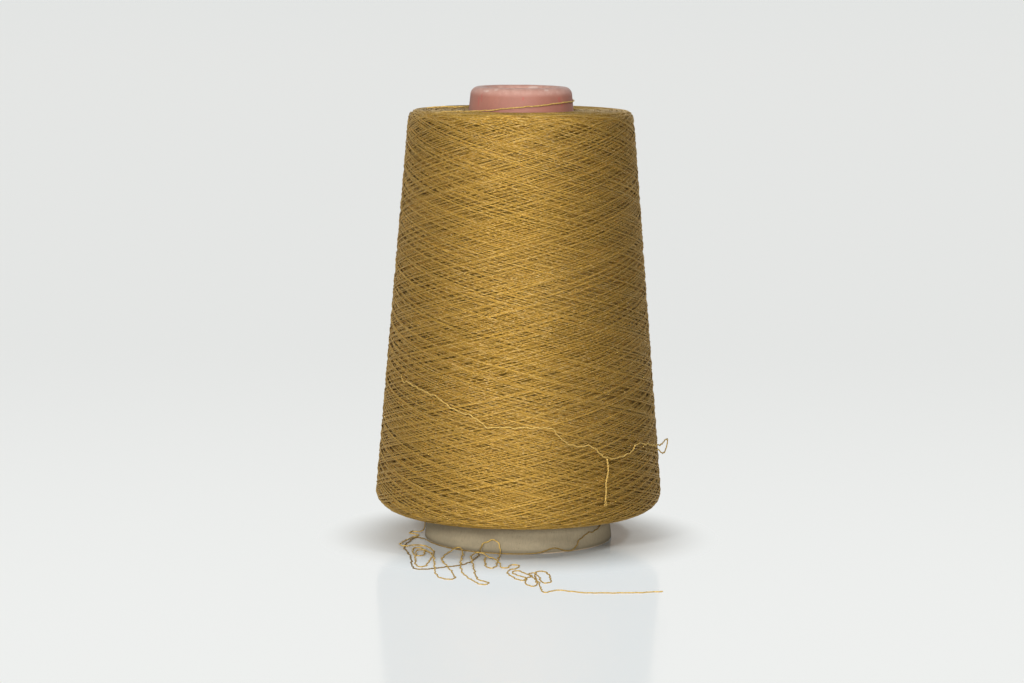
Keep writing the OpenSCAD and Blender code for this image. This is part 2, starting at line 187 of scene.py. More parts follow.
LAST_END_FLOOR = (
    (-0.0375, -0.0395, 0), (-0.0395, -0.0425, 0), (-0.0413, -0.041, 0), (-0.041, -0.0375, 0),
    (-0.0387, -0.036, 0), (-0.0373, -0.034, 0), (-0.0385, -0.0318, 0), (-0.041, -0.028, 0),
    (-0.043, -0.0215, 0), (-0.0442, -0.015, 1), (-0.0433, -0.0105, 1), (-0.041, -0.01, 1),
    (-0.0385, -0.013, 1), (-0.0355, -0.015, 0), (-0.0328, -0.011, 0), (-0.0308, -0.003, 0),
    (-0.031, 0.006, 0), (-0.0323, 0.013, 0), (-0.0326, 0.018, 0), (-0.033, 0.022, 0), (-0.0343, 0.0248, 0),
    (-0.0362, 0.0245, 0), (-0.0372, 0.0205, 0), (-0.0373, 0.012, 0), (-0.0377, 0.004, 0),
    (-0.0392, -0.003, 0), (-0.039, -0.008, 0), (-0.0376, -0.0108, 0), (-0.036, -0.0105, 0),
    (-0.0349, -0.0065, 0), (-0.0345, -0.003, 0))
LAST_END_LOOPS = (
    (-0.0345, -0.003, 0), (-0.0342, 0, 0), (-0.0346, 0.0038, 0), (-0.0362, 0.0053, 0),
    (-0.0378, 0.0035, 0), (-0.0378, -0.0005, 1), (-0.0364, -0.0037, 1), (-0.0344, -0.0038, 1),
    (-0.0328, -0.0005, 1), (-0.0318, 0.004, 1), (-0.031, 0.0085, 1), (-0.0305, 0.0135, 1),
    (-0.0303, 0.02, 1), (-0.03, 0.0265, 1), (-0.0298, 0.032, 1), (-0.0293, 0.038, 0), (-0.028, 0.043, 0),
    (-0.0255, 0.0455, 0), (-0.0232, 0.0465, 0), (-0.0222, 0.0435, 0), (-0.023, 0.037, 0),
    (-0.025, 0.028, 1), (-0.0268, 0.02, 1), (-0.028, 0.0125, 0), (-0.0275, 0.005, 0),
    (-0.0258, -0.0005, 0), (-0.0244, -0.0035, 1), (-0.023, -0.0055, 2), (-0.021, -0.0052, 2),
    (-0.0202, -0.001, 1), (-0.0206, 0.009, 0), (-0.0208, 0.017, 1), (-0.0208, 0.026, 1), (-0.02, 0.036, 0),
    (-0.017, 0.045, 0), (-0.0145, 0.052, 0), (-0.0122, 0.055, 0), (-0.0102, 0.0535, 0), (-0.0105, 0.05, 0),
    (-0.013, 0.048, 0))
LAST_END_KNOTS = (
    (-0.013, 0.048, 0), (-0.0148, 0.0445, 0), (-0.0155, 0.034, 0), (-0.0162, 0.024, 1),
    (-0.0168, 0.015, 1), (-0.0173, 0.008, 1), (-0.0166, 0.0038, 1), (-0.0146, 0.0028, 2),
    (-0.0128, 0.005, 2), (-0.0108, 0.009, 1), (-0.0085, 0.012, 1), (-0.0072, 0.017, 1),
    (-0.0066, 0.0215, 1), (-0.0063, 0.0248, 0), (-0.0047, 0.0264, 0), (-0.0032, 0.0244, 0),
    (-0.0031, 0.0208, 0), (-0.0014, 0.0192, 0), (0.0004, 0.0206, 0), (0.0003, 0.024, 0),
    (-0.0011, 0.0275, 0), (-0.0034, 0.029, 0), (-0.0042, 0.033, 0), (-0.0031, 0.038, 0),
    (-0.0013, 0.0435, 0), (0.0011, 0.0472, 0), (0.0032, 0.0465, 0), (0.003, 0.043, 0), (0.0008, 0.0395, 0),
    (-0.0014, 0.0362, 0), (-0.0026, 0.0328, 0), (-0.0014, 0.0304, 0), (0.0005, 0.0307, 0),
    (0.0018, 0.0335, 0), (0.0031, 0.036, 0), (0.0045, 0.0385, 0), (0.0048, 0.0415, 0), (0.0034, 0.044, 1),
    (0.0022, 0.0472, 1), (0.0024, 0.0505, 0))
LAST_END_TIP = (
    (0.0024, 0.0505, 0), (0.0032, 0.0542, 0), (0.004, 0.0566, 0), (0.006, 0.0566, 0), (0.0067, 0.053, 0),
    (0.0063, 0.0465, 0), (0.006, 0.0405, 0), (0.0059, 0.0355, 0), (0.0064, 0.0317, 0), (0.0084, 0.0304, 0),
    (0.0102, 0.0325, 0), (0.0109, 0.0365, 0), (0.0113, 0.0415, 0), (0.0116, 0.0465, 0), (0.0112, 0.0503, 0),
    (0.0095, 0.0518, 0), (0.0081, 0.0495, 0), (0.0077, 0.0445, 0), (0.0072, 0.0395, 0), (0.0062, 0.0365, 1),
    (0.0045, 0.0362, 1), (0.0037, 0.0392, 1), (0.0043, 0.043, 2), (0.0057, 0.0465, 1), (0.007, 0.0508, 1),
    (0.0077, 0.056, 0), (0.0077, 0.0615, 0), (0.0084, 0.066, 0), (0.0104, 0.0665, 0), (0.0122, 0.063, 0),
    (0.015, 0.062, 0), (0.0185, 0.065, 0), (0.024, 0.067, 0), (0.032, 0.0665, 0), (0.042, 0.066, 0),
    (0.05, 0.0635, 0))
LOOSE_TURN = (
    (-61, 0.0648, -0.0012), (-59, 0.064, 0), (-56, 0.062, 0), (-53, 0.0635, 0), (-48, 0.0615, 0),
    (-41, 0.0605, 0), (-35, 0.059, 0), (-31, 0.057, 0), (-25, 0.054, 0), (-21, 0.0545, 0),
    (-16, 0.0515, 0), (-12, 0.049, 0), (-8, 0.05, 0), (2, 0.0495, 0), (12, 0.05, 0), (15, 0.048, 0),
    (17.5, 0.0445, 0), (22, 0.0422, 0), (30, 0.0427, 0), (33, 0.04, 0), (37, 0.0365, 0), (44, 0.037, 0),
    (50.5, 0.0373, 0), (54, 0.0403, 0), (58, 0.0408, 0), (67, 0.0385, 0), (78, 0.037, 0.0004),
    (86, 0.0365, 0.0016), (90, 0.0385, 0.003), (92.5, 0.0365, 0.0036), (92, 0.0335, 0.0026),
    (88, 0.0318, 0.0012), (83, 0.034, 0.0008), (80.5, 0.035, -0.0012))
SNARL = (
    (37, 0.0371), (37.7, 0.0335), (37, 0.0305), (35.8, 0.028), (36.2, 0.0255), (35.5, 0.023),
    (35.5, 0.0205))
NOSE_TURN = (
    (-54, 0.0205, -0.0012), (-52, 0.018, 0), (-47, 0.011, 0), (-42, 0.004, 0), (-33, 0, 0.0003),
    (-20, 0, 0.0009), (-2, 0, 0.0016), (16, 0, 0.002), (34, 0, 0.0026), (54, 0, 0.0032), (76, 0, 0.003),
    (100, 0, 0.0034), (126, 0, 0.0032), (152, 0, 0.0026), (178, 0, 0.002), (204, 0, 0.0012),
    (226, 0, 0.0005), (238, 0.003, 0), (246, 0.009, 0), (252, 0.017, 0), (253.5, 0.0195, -0.0012))

# ---- Settings ----


class CameraSettings(bpy.types.PropertyGroup):
    """Where the picture is taken from"""
    across: FloatProperty(
        name="Across", description="Distance of the camera to the right of the cone's axis",
        default=-0.0028, unit="LENGTH", precision=4)
    distance: FloatProperty(
        name="Distance", description="Distance of the camera in front of the cone's axis",
        default=1.1, unit="LENGTH")
    height: FloatProperty(
        name="Height", description="Height of the camera above the floor", default=0.217, unit="LENGTH")
    pitch: FloatProperty(
        name="Pitch", description="How far the camera looks down", default=math.radians(7.39),
        subtype="ANGLE")
    roll: FloatProperty(
        name="Roll", description="How far the camera is turned about its own line of sight",
        default=math.radians(0.39), subtype="ANGLE")
    lens: FloatProperty(name="Lens", description="Focal length", default=103.6, unit="CAMERA")


class ConeSettings(bpy.types.PropertyGroup):
    """The paper cone"""
    foot_width: FloatProperty(
        name="Foot", description="Outside diameter of the foot", default=0.0707, unit="LENGTH",
        precision=4)
    tip_width: FloatProperty(
        name="Tip", description="Outside diameter that the straight side would reach at the top",
        default=0.0373, unit="LENGTH", precision=4)
    length: FloatProperty(name="Length", description="Length of the cone", default=0.17, unit="LENGTH")
    nose_depth: FloatProperty(
        name="Nose paper", description="How far the nose paper runs down the outside from the top",
        default=0.022, unit="LENGTH")
    nose_rim: FloatProperty(
        name="Outer rim", description="Outer rounding of the rolled nose", default=0.003, unit="LENGTH")
    nose_inner_rim: FloatProperty(
        name="Inner rim", description="Inner rounding of the rolled nose", default=0.0012, unit="LENGTH",
        precision=4)
    nose_hole: FloatProperty(
        name="Hole", description="Diameter of the hole in the nose", default=0.028, unit="LENGTH")
    turn_in: FloatProperty(
        name="Turn-in", description="How far the rolled-in edge reaches down inside", default=0.009,
        unit="LENGTH")
    paper: FloatProperty(
        name="Paper", description="Thickness of the nose paper", default=0.0003, unit="LENGTH",
        precision=5)
    pleat: FloatProperty(
        name="Pleat", description="Height of the nose paper's pleats inside the hole", default=0.00028,
        unit="LENGTH", precision=5)


class PackageSettings(bpy.types.PropertyGroup):
    """The wound package"""
    small_end: FloatProperty(
        name="Small end", description="Diameter that the straight side would reach at the top face",
        default=0.0841, unit="LENGTH", precision=4)
    large_end: FloatProperty(
        name="Large end", description="Diameter that the straight side would reach at the bottom face",
        default=0.1093, unit="LENGTH", precision=4)
    bottom: FloatProperty(
        name="Bottom", description="Height of the lowest turns", default=0.0115, unit="LENGTH",
        precision=4)
    traverse: FloatProperty(
        name="Traverse", description="Height that the turns cover", default=0.15, unit="LENGTH")
    top_edge: FloatProperty(
        name="Top edge", description="Rounding of the top edge", default=0.0035, unit="LENGTH",
        precision=4)
    bottom_edge: FloatProperty(
        name="Bottom edge", description="Rounding of the bottom edge", default=0.007, unit="LENGTH",
        precision=4)
    thread: FloatProperty(
        name="Thread", description="Thickness of the thread", default=0.0004, unit="LENGTH",
        precision=5)
    layers: IntProperty(
        name="Layers", description="Layers of turns over the core, each wound up and down again",
        default=5, min=1)
    trips: IntProperty(
        name="Trips", description="Trips up and down again in each layer", default=80, min=8)
    turns_per_trip: FloatProperty(
        name="Turns per trip", description="Turns round the package in one trip up and down again",
        default=4.1)
    gain: FloatProperty(
        name="Gain", description="Thickness that one layer adds to the package", default=0.00047,
        unit="LENGTH", precision=5)


class LooseSettings(bpy.types.PropertyGroup):
    """The loose threads"""
    thickness: FloatProperty(
        name="Thickness", description="Thickness of the thread where it lies loose and has opened",
        default=0.00046, unit="LENGTH", precision=5)
    clearance: FloatProperty(
        name="Clearance", description="Air between a loose thread and what it lies against",
        default=0.00025, unit="LENGTH", precision=5)
    lap: FloatProperty(
        name="Lap", description="Height that one thread gains where it lies over another",
        default=0.00056, unit="LENGTH", precision=5)
    twist: FloatProperty(
        name="Twist", description="Length of one full twist of the two plies", default=0.0026,
        unit="LENGTH", precision=4)
    crimp: FloatProperty(
        name="Crimp", description="Size of the loose threads' small kinks", default=0.00042,
        unit="LENGTH", precision=5)
    snarl_width: FloatProperty(
        name="Snarl", description="Width of the doubled, twisted thread", default=0.0007,
        unit="LENGTH", precision=4)


class FinishSettings(bpy.types.PropertyGroup):
    """The colours"""
    thread: FloatVectorProperty(
        name="Thread", description="Gold of the wound thread", default=(0.60, 0.37, 0.062),
        subtype="COLOR", min=0, max=1)
    # The shaded browns are painted shade: between the plies, in the deep turns and on the first end
    thread_dark: FloatVectorProperty(
        name="Thread, shaded", description="Brown between the thread's plies", default=(0.27, 0.165, 0.035),
        subtype="COLOR", min=0, max=1)
    # The loose thread is painted paler than the wound thread: partly painted light, as it stands off the
    # package in more light
    loose: FloatVectorProperty(
        name="Loose thread", description="Gold of the loose thread", default=(0.76, 0.52, 0.135),
        subtype="COLOR", min=0, max=1)
    loose_dark: FloatVectorProperty(
        name="Loose thread, shaded", description="Brown between the loose thread's plies",
        default=(0.32, 0.19, 0.04), subtype="COLOR", min=0, max=1)
    nose: FloatVectorProperty(
        name="Nose paper", description="Pink of the nose paper", default=(0.34, 0.135, 0.095),
        subtype="COLOR", min=0, max=1)
    cover: FloatVectorProperty(
        name="Cover paper", description="Grey-beige of the cover paper", default=(0.34, 0.285, 0.185),
        subtype="COLOR", min=0, max=1)
    board: FloatVectorProperty(
        name="Board", description="Tan of the rolled board", default=(0.40, 0.31, 0.21),
        subtype="COLOR", min=0, max=1)


class StageSettings(bpy.types.PropertyGroup):
    """The floor and the light"""
    key_power: FloatProperty(
        name="Key", description="Power of the light above the front, at the left", default=13.2,
        unit="POWER")
    front_power: FloatProperty(
        name="Front", description="Power of the low light in front", default=14.2, unit="POWER")
    top_power: FloatProperty(
        name="Top", description="Power of the light overhead at the right", default=5.5, unit="POWER")
    side_power: FloatProperty(
        name="Side", description="Power of the light at the left", default=1.6, unit="POWER")
    room_dark: FloatProperty(
        name="Dark side", description="Brightness of the room's dark side on the object", default=0.03)
    room_bright: FloatProperty(
        name="Bright side", description="Brightness of the room's left side on the object", default=0.3)
    backdrop: FloatProperty(
        name="Backdrop", description="Paleness of the floor far behind and of the room", default=0.79)
    floor_front: FloatProperty(
        name="Floor", description="Paleness of the floor in front", default=0.869)
    floor_shadow: FloatProperty(
        name="Floor shadow", description="Share of the floor near the cone that takes shadow", default=1)
    floor_mirror: FloatProperty(
        name="Floor mirror", description="Share of the floor that reflects", default=0.15)


def settings(context, name):
    """One group of the scene's settings"""
    return getattr(context.scene, "thread_cone_" + name)


# ---- Shader nodes ----


class Value:
    """A number socket that can stand in sums"""

    def __init__(self, nodes, socket):
        self.nodes = nodes
        self.socket = socket

    def math(self, operation, *values):
        return self.nodes.value("ShaderNodeMath", {"operation": operation}, *values)

    def __add__(self, other):
        return self.math("ADD", self, other)

    def __sub__(self, other):
        return self.math("SUBTRACT", self, other)

    def __rsub__(self, other):
        return self.math("SUBTRACT", other, self)

    def __mul__(self, other):
        return self.math("MULTIPLY", self, other)

    def __truediv__(self, other):
        return self.math("DIVIDE", self, other)

    def __pow__(self, other):
        return self.math("POWER", self, other)

    __radd__ = __add__
    __rmul__ = __mul__

    def sine(self):
        return self.math("SINE", self)

    def clamp(self):
        return self.nodes.value("ShaderNodeClamp", {}, self, 0.0, 1.0)

    def between(self, low, high):
        """0 below low, 1 above high, and a smooth step from one to the other"""
        return self.nodes.value("ShaderNodeMapRange", {"interpolation_type": "SMOOTHSTEP"},
                                self, low, high, 0.0, 1.0)


class Nodes:
    """The nodes of a new material, or of the world"""

    def __init__(self, owner):
        owner.use_nodes = True
        self.owner = owner
        self.tree = owner.node_tree
        self.tree.nodes.clear()

    def node(self, kind, options, *inputs, **named):
        """A node with its options set first, then its inputs in order or by name"""
        made = self.tree.nodes.new(kind)
        for key, option in options.items():
            setattr(made, key, option)
        for key, value in [*enumerate(inputs), *named.items()]:
            socket = made.inputs[key if isinstance(key, int) else key.replace("_", " ")]
            if isinstance(value, Value):
                self.tree.links.new(value.socket, socket)
            elif isinstance(value, bpy.types.NodeSocket):
                self.tree.links.new(value, socket)
            elif value is not None:
                socket.default_value = value
        return made

    def value(self, kind, options, *inputs, output=0, **named):
        """A node's output as a number that can stand in sums"""
        return Value(self, self.node(kind, options, *inputs, **named).outputs[output])

    def place(self):
        """Object coordinates, whole and as three numbers"""
        whole = self.node("ShaderNodeTexCoord", {}).outputs["Object"]
        split = self.node("ShaderNodeSeparateXYZ", {}, whole)
        return whole, [Value(self, split.outputs[k]) for k in range(3)]

    def noise(self, vector, scale, detail=2.0, roughness=0.5):
        """Noise over places, from about 0.3 to 0.7"""
        return self.value("ShaderNodeTexNoise", {}, Vector=vector, Scale=scale, Detail=detail,
                          Roughness=roughness)

    def stretched(self, vector, scale):
        """Places multiplied on each axis, so that a pattern on them is drawn together or out"""
        return self.node("ShaderNodeVectorMath", {"operation": "MULTIPLY"}, vector, scale).outputs[0]

    def mixed(self, share, first, second):
        """Colour between two colours"""
        made = self.node("ShaderNodeMix", {"data_type": "RGBA"})
        for key, value in ((0, share), (6, first), (7, second)):
            if isinstance(value, Value):
                self.tree.links.new(value.socket, made.inputs[key])
            elif isinstance(value, bpy.types.NodeSocket):
                self.tree.links.new(value, made.inputs[key])
            else:
                made.inputs[key].default_value = value if key == 0 else (*value[:3], 1)
        return made.outputs[2]

    def surface(self, colour, rough, height=None, lift=0.0, **constants):
        """Principled surface, with a bump where a height is given"""
        bump = None
        if height is not None:
            bump = self.node("ShaderNodeBump", {}, Strength=1.0, Distance=lift, Height=height).outputs[0]
        shader = self.node("ShaderNodeBsdfPrincipled", {}, Base_Color=colour, Roughness=rough,
                           Normal=bump, **constants)
        self.node("ShaderNodeOutputMaterial", {}, shader.outputs[0])
        return self.owner


def grey(level):
    """The stage's white, with a very slight green in it, at a level"""
    return (level * 0.987, level, level * 0.985)


def shade(colour, factor):
    """A colour darker or paler by a factor"""
    return tuple(c * factor for c in colour)


def thread_finish(name, gold, shaded_brown, twist, relief, satin, pale, painted_shade=0.0):
    """Two-ply twisted thread, with painted shade between its plies. The map holds metres along the thread and
    the share of the way round it.
    Its first stretch can carry painted shade, darker than the rest."""
    look = Nodes(bpy.data.materials.new(name))
    lay = look.node("ShaderNodeUVMap", {"uv_map": THREAD_MAP}).outputs[0]
    split = look.node("ShaderNodeSeparateXYZ", {}, lay)
    along, round_it = (Value(look, split.outputs[k]) for k in (0, 1))
    ply = ((along / twist + round_it) * (2 * math.pi)).sine()
    plies = ply * ply
    # Fibres a millimetre or so long, and a slower drift of the tone along the thread
    fibres = look.noise(look.stretched(lay, (750, 3, 1)), 1.0, 3.0, 0.65)
    drift = look.noise(look.stretched(lay, (28, 0.2, 1)), 1.0, 2.0, 0.5)
    # Painted shade between the twisted plies, with the fibres' and the drift's own changes of tone
    ply_shade_and_tone = (plies * 0.25 + fibres.between(0.38, 0.6) * 0.4 + (drift - 0.5) * 0.8 + 0.25).clamp()
    # Pale flecks: partly pale fibres, partly painted glints
    fleck_and_painted_glint = fibres.between(0.5, 0.62) * pale
    colour = look.mixed(fleck_and_painted_glint, look.mixed(ply_shade_and_tone, shaded_brown, gold), FLECK_AND_PAINTED_GLINT)
    # Painted shade on the first stretch of the thread, fading out along it
    if painted_shade:
        colour = look.mixed((1 - along.between(*FIRST_END_SHADE_FADE)) * painted_shade, colour, shade(shaded_brown, 0.5))
    return look.surface(
        colour, 0.64 - fibres * 0.14, plies * 0.8 + fibres * 0.4, relief,
        Metallic=satin, Specular_IOR_Level=0.4, Sheen_Weight=0.12,
        Sheen_Roughness=0.4, Sheen_Tint=(1.0, 0.9, 0.7, 1))


def core_finish(name, gold, shaded_brown):
    """Deep turns, seen only through the gaps: crossing lines of thread with painted shade between them, all
    painted darker than the wound thread as shade under the outer layers
    """
    look = Nodes(bpy.data.materials.new(name))
    whole, (x, y, z) = look.place()
    azimuth = look.value("ShaderNodeMath", {"operation": "ARCTAN2"}, x, y)
    up = (azimuth * DEEP_ROUND + z * DEEP_UP).sine()
    down = (azimuth * DEEP_ROUND - z * DEEP_UP).sine()
    lines = (up * 0.25 + down * 0.25 + look.noise(whole, 900, 2.0) * 0.7).clamp()
    # Painted shade: the gaps between the lines, and the gold itself darkened as shade under the outer layers
    return look.surface(look.mixed(lines, shade(shaded_brown, 0.6), shade(gold, 0.75)), 0.75, lines,
                        0.3 * MM, Specular_IOR_Level=0.3)


def marks(place, spots, patchy):
    """Where small worn spots lie on the nose"""
    x, y, z = place
    total = None
    for azimuth, height, wide, tall in spots:
        a = math.radians(azimuth)
        across = x * math.cos(a) + y * math.sin(a)
        out = (x * math.sin(a) - y * math.cos(a)).between(0.0, 2 * MM)
        spot = 1 - ((across / wide) ** 2 + ((z - height) / tall) ** 2).between(0.2, 1.0)
        spot = spot * out * (0.4 + 0.6 * patchy.between(0.3, 0.6))
        total = spot if total is None else total + spot
    return total.clamp()


def nose_finish(name, pink, top):
    """Smooth dyed paper, paler over its shoulder, partly worn and partly a painted highlight, and scuffed red
    in a few places
    """
    look = Nodes(bpy.data.materials.new(name))
    whole, place = look.place()
    cloud = look.noise(whole, 120, 4.0, 0.6)
    fibre = look.noise(look.stretched(whole, (1, 1, 2.5)), 1400, 3.0, 0.6)
    shoulder = place[2].between(top - 3.4 * MM, top - 1.2 * MM)
    patchy = look.noise(whole, 420, 4.0, 0.65)
    # The paler shoulder: partly wear, partly a painted highlight where the shoulder faces up
    worn = (shoulder * (0.6 + 0.4 * patchy.between(0.35, 0.7))).clamp()
    base = look.mixed((cloud * 0.6 + fibre * 0.4).between(0.25, 0.75), shade(pink, 0.9), shade(pink, 1.08))
    pale = look.mixed(worn * 0.6, base, NOSE_WORN_AND_HIGHLIGHT)
    chipped = look.mixed(marks(place, NOSE_CHIPS, patchy) * 0.5, pale, NOSE_BARE)
    red = look.mixed(marks(place, NOSE_SCUFFS, patchy) * 0.6, chipped, NOSE_RED)
    return look.surface(red, 0.52 + patchy * 0.15, fibre * 0.5 + cloud * 0.5, 0.06 * MM,
                        Specular_IOR_Level=0.5, Sheen_Weight=0.1)


def cover_finish(name, beige):
    """Plain grey-beige paper with fine fibres and a few specks, with painted shade towards its foot and at
    its bottom edge
    """
    look = Nodes(bpy.data.materials.new(name))
    whole, (_, _, z) = look.place()
    cloud = look.noise(whole, 60, 4.0, 0.6)
    fibre = look.noise(look.stretched(whole, (1, 1, 0.35)), 1800, 4.0, 0.7)
    specks = look.noise(whole, 2300, 1.0, 0.5).between(0.69, 0.74)
    base = look.mixed((cloud * 0.5 + fibre * 0.5).between(0.3, 0.7), shade(beige, 0.82), shade(beige, 1.15))
    # Painted shade: darker at the bottom edge where the foot meets the floor, and darker towards the foot
    rim = 1 - z.between(0.4 * MM, 2.0 * MM)
    painted_foot_shade = look.mixed((1 - z.between(0.5 * MM, 9 * MM)) * 0.3, base, shade(beige, 0.4))
    with_painted_edge_shade = look.mixed((rim * (0.4 + fibre)).clamp() * 0.7, painted_foot_shade, shade(beige, 0.35))
    return look.surface(look.mixed(specks * 0.5, with_painted_edge_shade, shade(beige, 0.3)), 0.85, fibre + cloud * 0.3,
                        0.05 * MM, Specular_IOR_Level=0.25)


def board_finish(name, tan):
    """Pressed board, with the layers of its roll on the cut edge and inside"""
    look = Nodes(bpy.data.materials.new(name))
    whole, (x, y, _) = look.place()
    out = (x * x + y * y) ** 0.5
    layers = (out * (2 * math.pi / (0.35 * MM))).sine()
    pulp = look.noise(whole, 800, 4.0, 0.65)
    cloud = look.noise(whole, 90, 3.0, 0.5)
    tone = (pulp * 0.6 + cloud * 0.3 + layers * 0.08).between(0.3, 0.62)
    return look.surface(look.mixed(tone, shade(tan, 0.7), shade(tan, 1.15)), 0.9,
                        pulp + layers * 0.2, 0.08 * MM, Specular_IOR_Level=0.2)


# ---- Shapes ----


def unit(v):
    """Vectors of length 1 in the same directions"""
    return v / np.linalg.norm(v, axis=-1, keepdims=True)


def smooth(route, steps):
    """Run of points that is drawn towards a route's points, as a cubic B-spline is, between its ends"""
    route = np.array(route, float)
    padded = np.vstack([2 * route[0] - route[1], route, 2 * route[-1] - route[-2]])
    s = np.arange(steps)[:, None] / steps
    weights = ((1 - s) ** 3, 3 * s ** 3 - 6 * s * s + 4, 1 + 3 * s + 3 * s * s - 3 * s ** 3, s ** 3)
    spans = [sum(w * padded[i + k] for k, w in enumerate(weights)) / 6 for i in range(len(route) - 1)]
    return np.vstack([*spans, route[-1:]])


def lengths_along(points):
    """Length of the run up to each of its points"""
    return np.concatenate([[0], np.cumsum(np.linalg.norm(np.diff(points, axis=0), axis=1))])


def evenly(points, step):
    """The same run with its points a step apart"""
    along = lengths_along(points)
    wanted = np.linspace(0, along[-1], max(2, round(along[-1] / step)) + 1)
    return np.stack([np.interp(wanted, along, points[:, k]) for k in range(3)], axis=1)


def around(azimuth, radius, height):
    """Points at azimuths in degrees from the front"""
    a = np.radians(azimuth)
    return np.stack([radius * np.sin(a), -radius * np.cos(a), height + 0 * a], axis=-1)


def linked(name, data):
    """A new object in the scene"""
    made = bpy.data.objects.new(name, data)
    bpy.context.scene.collection.objects.link(made)
    return made


def dressed(piece, slot, material, *nodes):
    """A finished piece on the object's one body, with its material, in place of CAD nodes. Its slot is not
    used.
    """
    piece.data.materials.clear()
    piece.data.materials.append(material)
    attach(piece, "root")
    if nodes:
        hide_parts(*nodes)
    return piece


def tube(name, path, thickness, sides=6, twist=0.0, lobes=0.0):
    """Closed tube along a path, round, or with two lobes that twist, and with its two maps. Its faces are
    merged along their seam and turned outwards."""
    curve = bpy.data.curves.new(name, "CURVE")
    curve.dimensions = "3D"
    curve.twist_mode = "MINIMUM"
    curve.use_fill_caps = True
    spline = curve.splines.new("POLY")
    spline.points.add(len(path) - 1)
    spline.points.foreach_set("co", np.hstack([path, np.ones((len(path), 1))]).ravel())
    spline.use_smooth = True
    along = lengths_along(path)
    if twist:
        spline.points.foreach_set("tilt", 2 * math.pi * along / twist)
    profile = bpy.data.curves.new(name + "_profile", "CURVE")
    profile.dimensions = "2D"
    ring = profile.splines.new("POLY")
    ring.points.add(sides - 1)
    for k in range(sides):
        a = 2 * math.pi * k / sides
        r = thickness / 2 * (1 + lobes * math.cos(2 * a))
        ring.points[k].co = (r * math.cos(a), r * math.sin(a), 0, 1)
    ring.use_cyclic_u = True
    outline, drawn = linked(name + "_profile", profile), linked(name, curve)
    curve.bevel_mode = "OBJECT"
    curve.bevel_object = outline
    mesh = bpy.data.meshes.new_from_object(drawn.evaluated_get(bpy.context.evaluated_depsgraph_get()))
    for made in (drawn, outline):
        data = made.data
        bpy.data.objects.remove(made)
        bpy.data.curves.remove(data)
    map_tube(mesh, along, sides)
    shell = bmesh.new()
    shell.from_mesh(mesh)
    bmesh.ops.remove_doubles(shell, verts=shell.verts, dist=0.001 * thickness)
    if shell.calc_volume(signed=True) < 0:
        bmesh.ops.reverse_faces(shell, faces=shell.faces)
    for face in shell.faces:
        face.smooth = len(face.verts) == 4
    shell.to_mesh(mesh)
    shell.free()
    return linked(name, mesh)


def map_tube(mesh, along, sides):
    """Two maps of a tube. One holds the length along it and the share of the way round; in the other its
    turns lie in rows beside each other, with its two end faces in a row of their own."""
    raw = np.empty(len(mesh.loops) * 2)
    mesh.uv_layers[0].data.foreach_get("uv", raw)
    raw = raw.reshape(-1, 2)
    cap_loops = 2 * (sides - 2) * 3
    ring = np.rint(raw[:, 0] * (len(along) - 1)).astype(int)
    ring[:cap_loops] = 0
    thread = np.stack([along[ring], raw[:, 1]], axis=1)
    rows = math.ceil((len(along) - 1) / RINGS_PER_TURN) + 1
    first = ring.copy()
    first[cap_loops:] = np.repeat(ring[cap_loops:].reshape(-1, 4).min(axis=1), 4)
    row = np.minimum(first // RINGS_PER_TURN, rows - 2)
    # Each row leaves a tenth of its height free above and below
    bake = np.stack([0.005 + 0.99 * (ring - row * RINGS_PER_TURN) / RINGS_PER_TURN,
                     (row + 0.1 + 0.8 * raw[:, 1]) / rows], axis=1)
    a = 2 * math.pi * raw[:cap_loops, 0] * (sides - 1) / sides
    centre = np.repeat([0.25, 0.75], cap_loops // 2)
    bake[:cap_loops, 0] = centre + 0.4 / rows * np.cos(a)
    bake[:cap_loops, 1] = (rows - 0.5 + 0.4 * np.sin(a)) / rows
    while mesh.uv_layers:
        mesh.uv_layers.remove(mesh.uv_layers[0])
    for name, places in ((THREAD_MAP, thread), (BAKE_MAP, bake)):
        mesh.uv_layers.new(name=name).data.foreach_set("uv", places.ravel())


def cone_radius(cone, height):
    """Radius of the cone's straight side"""
    return (cone.foot_width - (cone.foot_width - cone.tip_width) * height / cone.length) / 2


class Outline:
    """The package's outline, from the bottom face over both rounded edges to the top face"""

    def __init__(self, package):
        self.top = package.bottom + package.traverse
        self.package = package
        low_z, high_z = package.bottom + package.bottom_edge, self.top - package.top_edge
        self.low = (self.side(low_z) - package.bottom_edge, low_z)
        self.high = (self.side(high_z) - package.top_edge, high_z)
        self.edge = math.pi / 2 * package.bottom_edge
        self.rim = self.edge + math.hypot(self.side(high_z) - self.side(low_z), high_z - low_z)
        self.end = self.rim + math.pi / 2 * package.top_edge

    def side(self, height):
        """Radius of the straight side"""
        package = self.package
        share = (self.top - height) / package.traverse
        return (package.small_end + (package.large_end - package.small_end) * share) / 2

    def at(self, distance, depth):
        """Radius and height at distances along the outline from the inside of the lower edge, and at depths
        under it. Distances below 0 are on the bottom face, and past the end on the top face."""
        package = self.package
        low = np.clip(distance / self.edge, 0, 1) * math.pi / 2
        high = np.clip((distance - self.rim) / (self.end - self.rim), 0, 1) * math.pi / 2
        way = np.clip((distance - self.edge) / (self.rim - self.edge), 0, 1)
        side_z = self.low[1] + (self.high[1] - self.low[1]) * way
        radius = np.where(distance < self.edge,
                          self.low[0] + (package.bottom_edge - depth) * np.sin(low),
                          np.where(distance < self.rim, self.side(side_z) - depth,
                                   self.high[0] + (package.top_edge - depth) * np.cos(high)))
        height = np.where(distance < self.edge,
                          self.low[1] - (package.bottom_edge - depth) * np.cos(low),
                          np.where(distance < self.rim, side_z,
                                   self.high[1] + (package.top_edge - depth) * np.sin(high)))
        return radius + np.minimum(distance, 0) - np.maximum(distance - self.end, 0), height


def wander(turns, chance, size, waves):
    """Slow irregular drift along a thread, from a few sines of odd lengths"""
    return sum(size / len(waves) * np.sin(2 * math.pi * (turns * w + chance.random())) for w in waves)


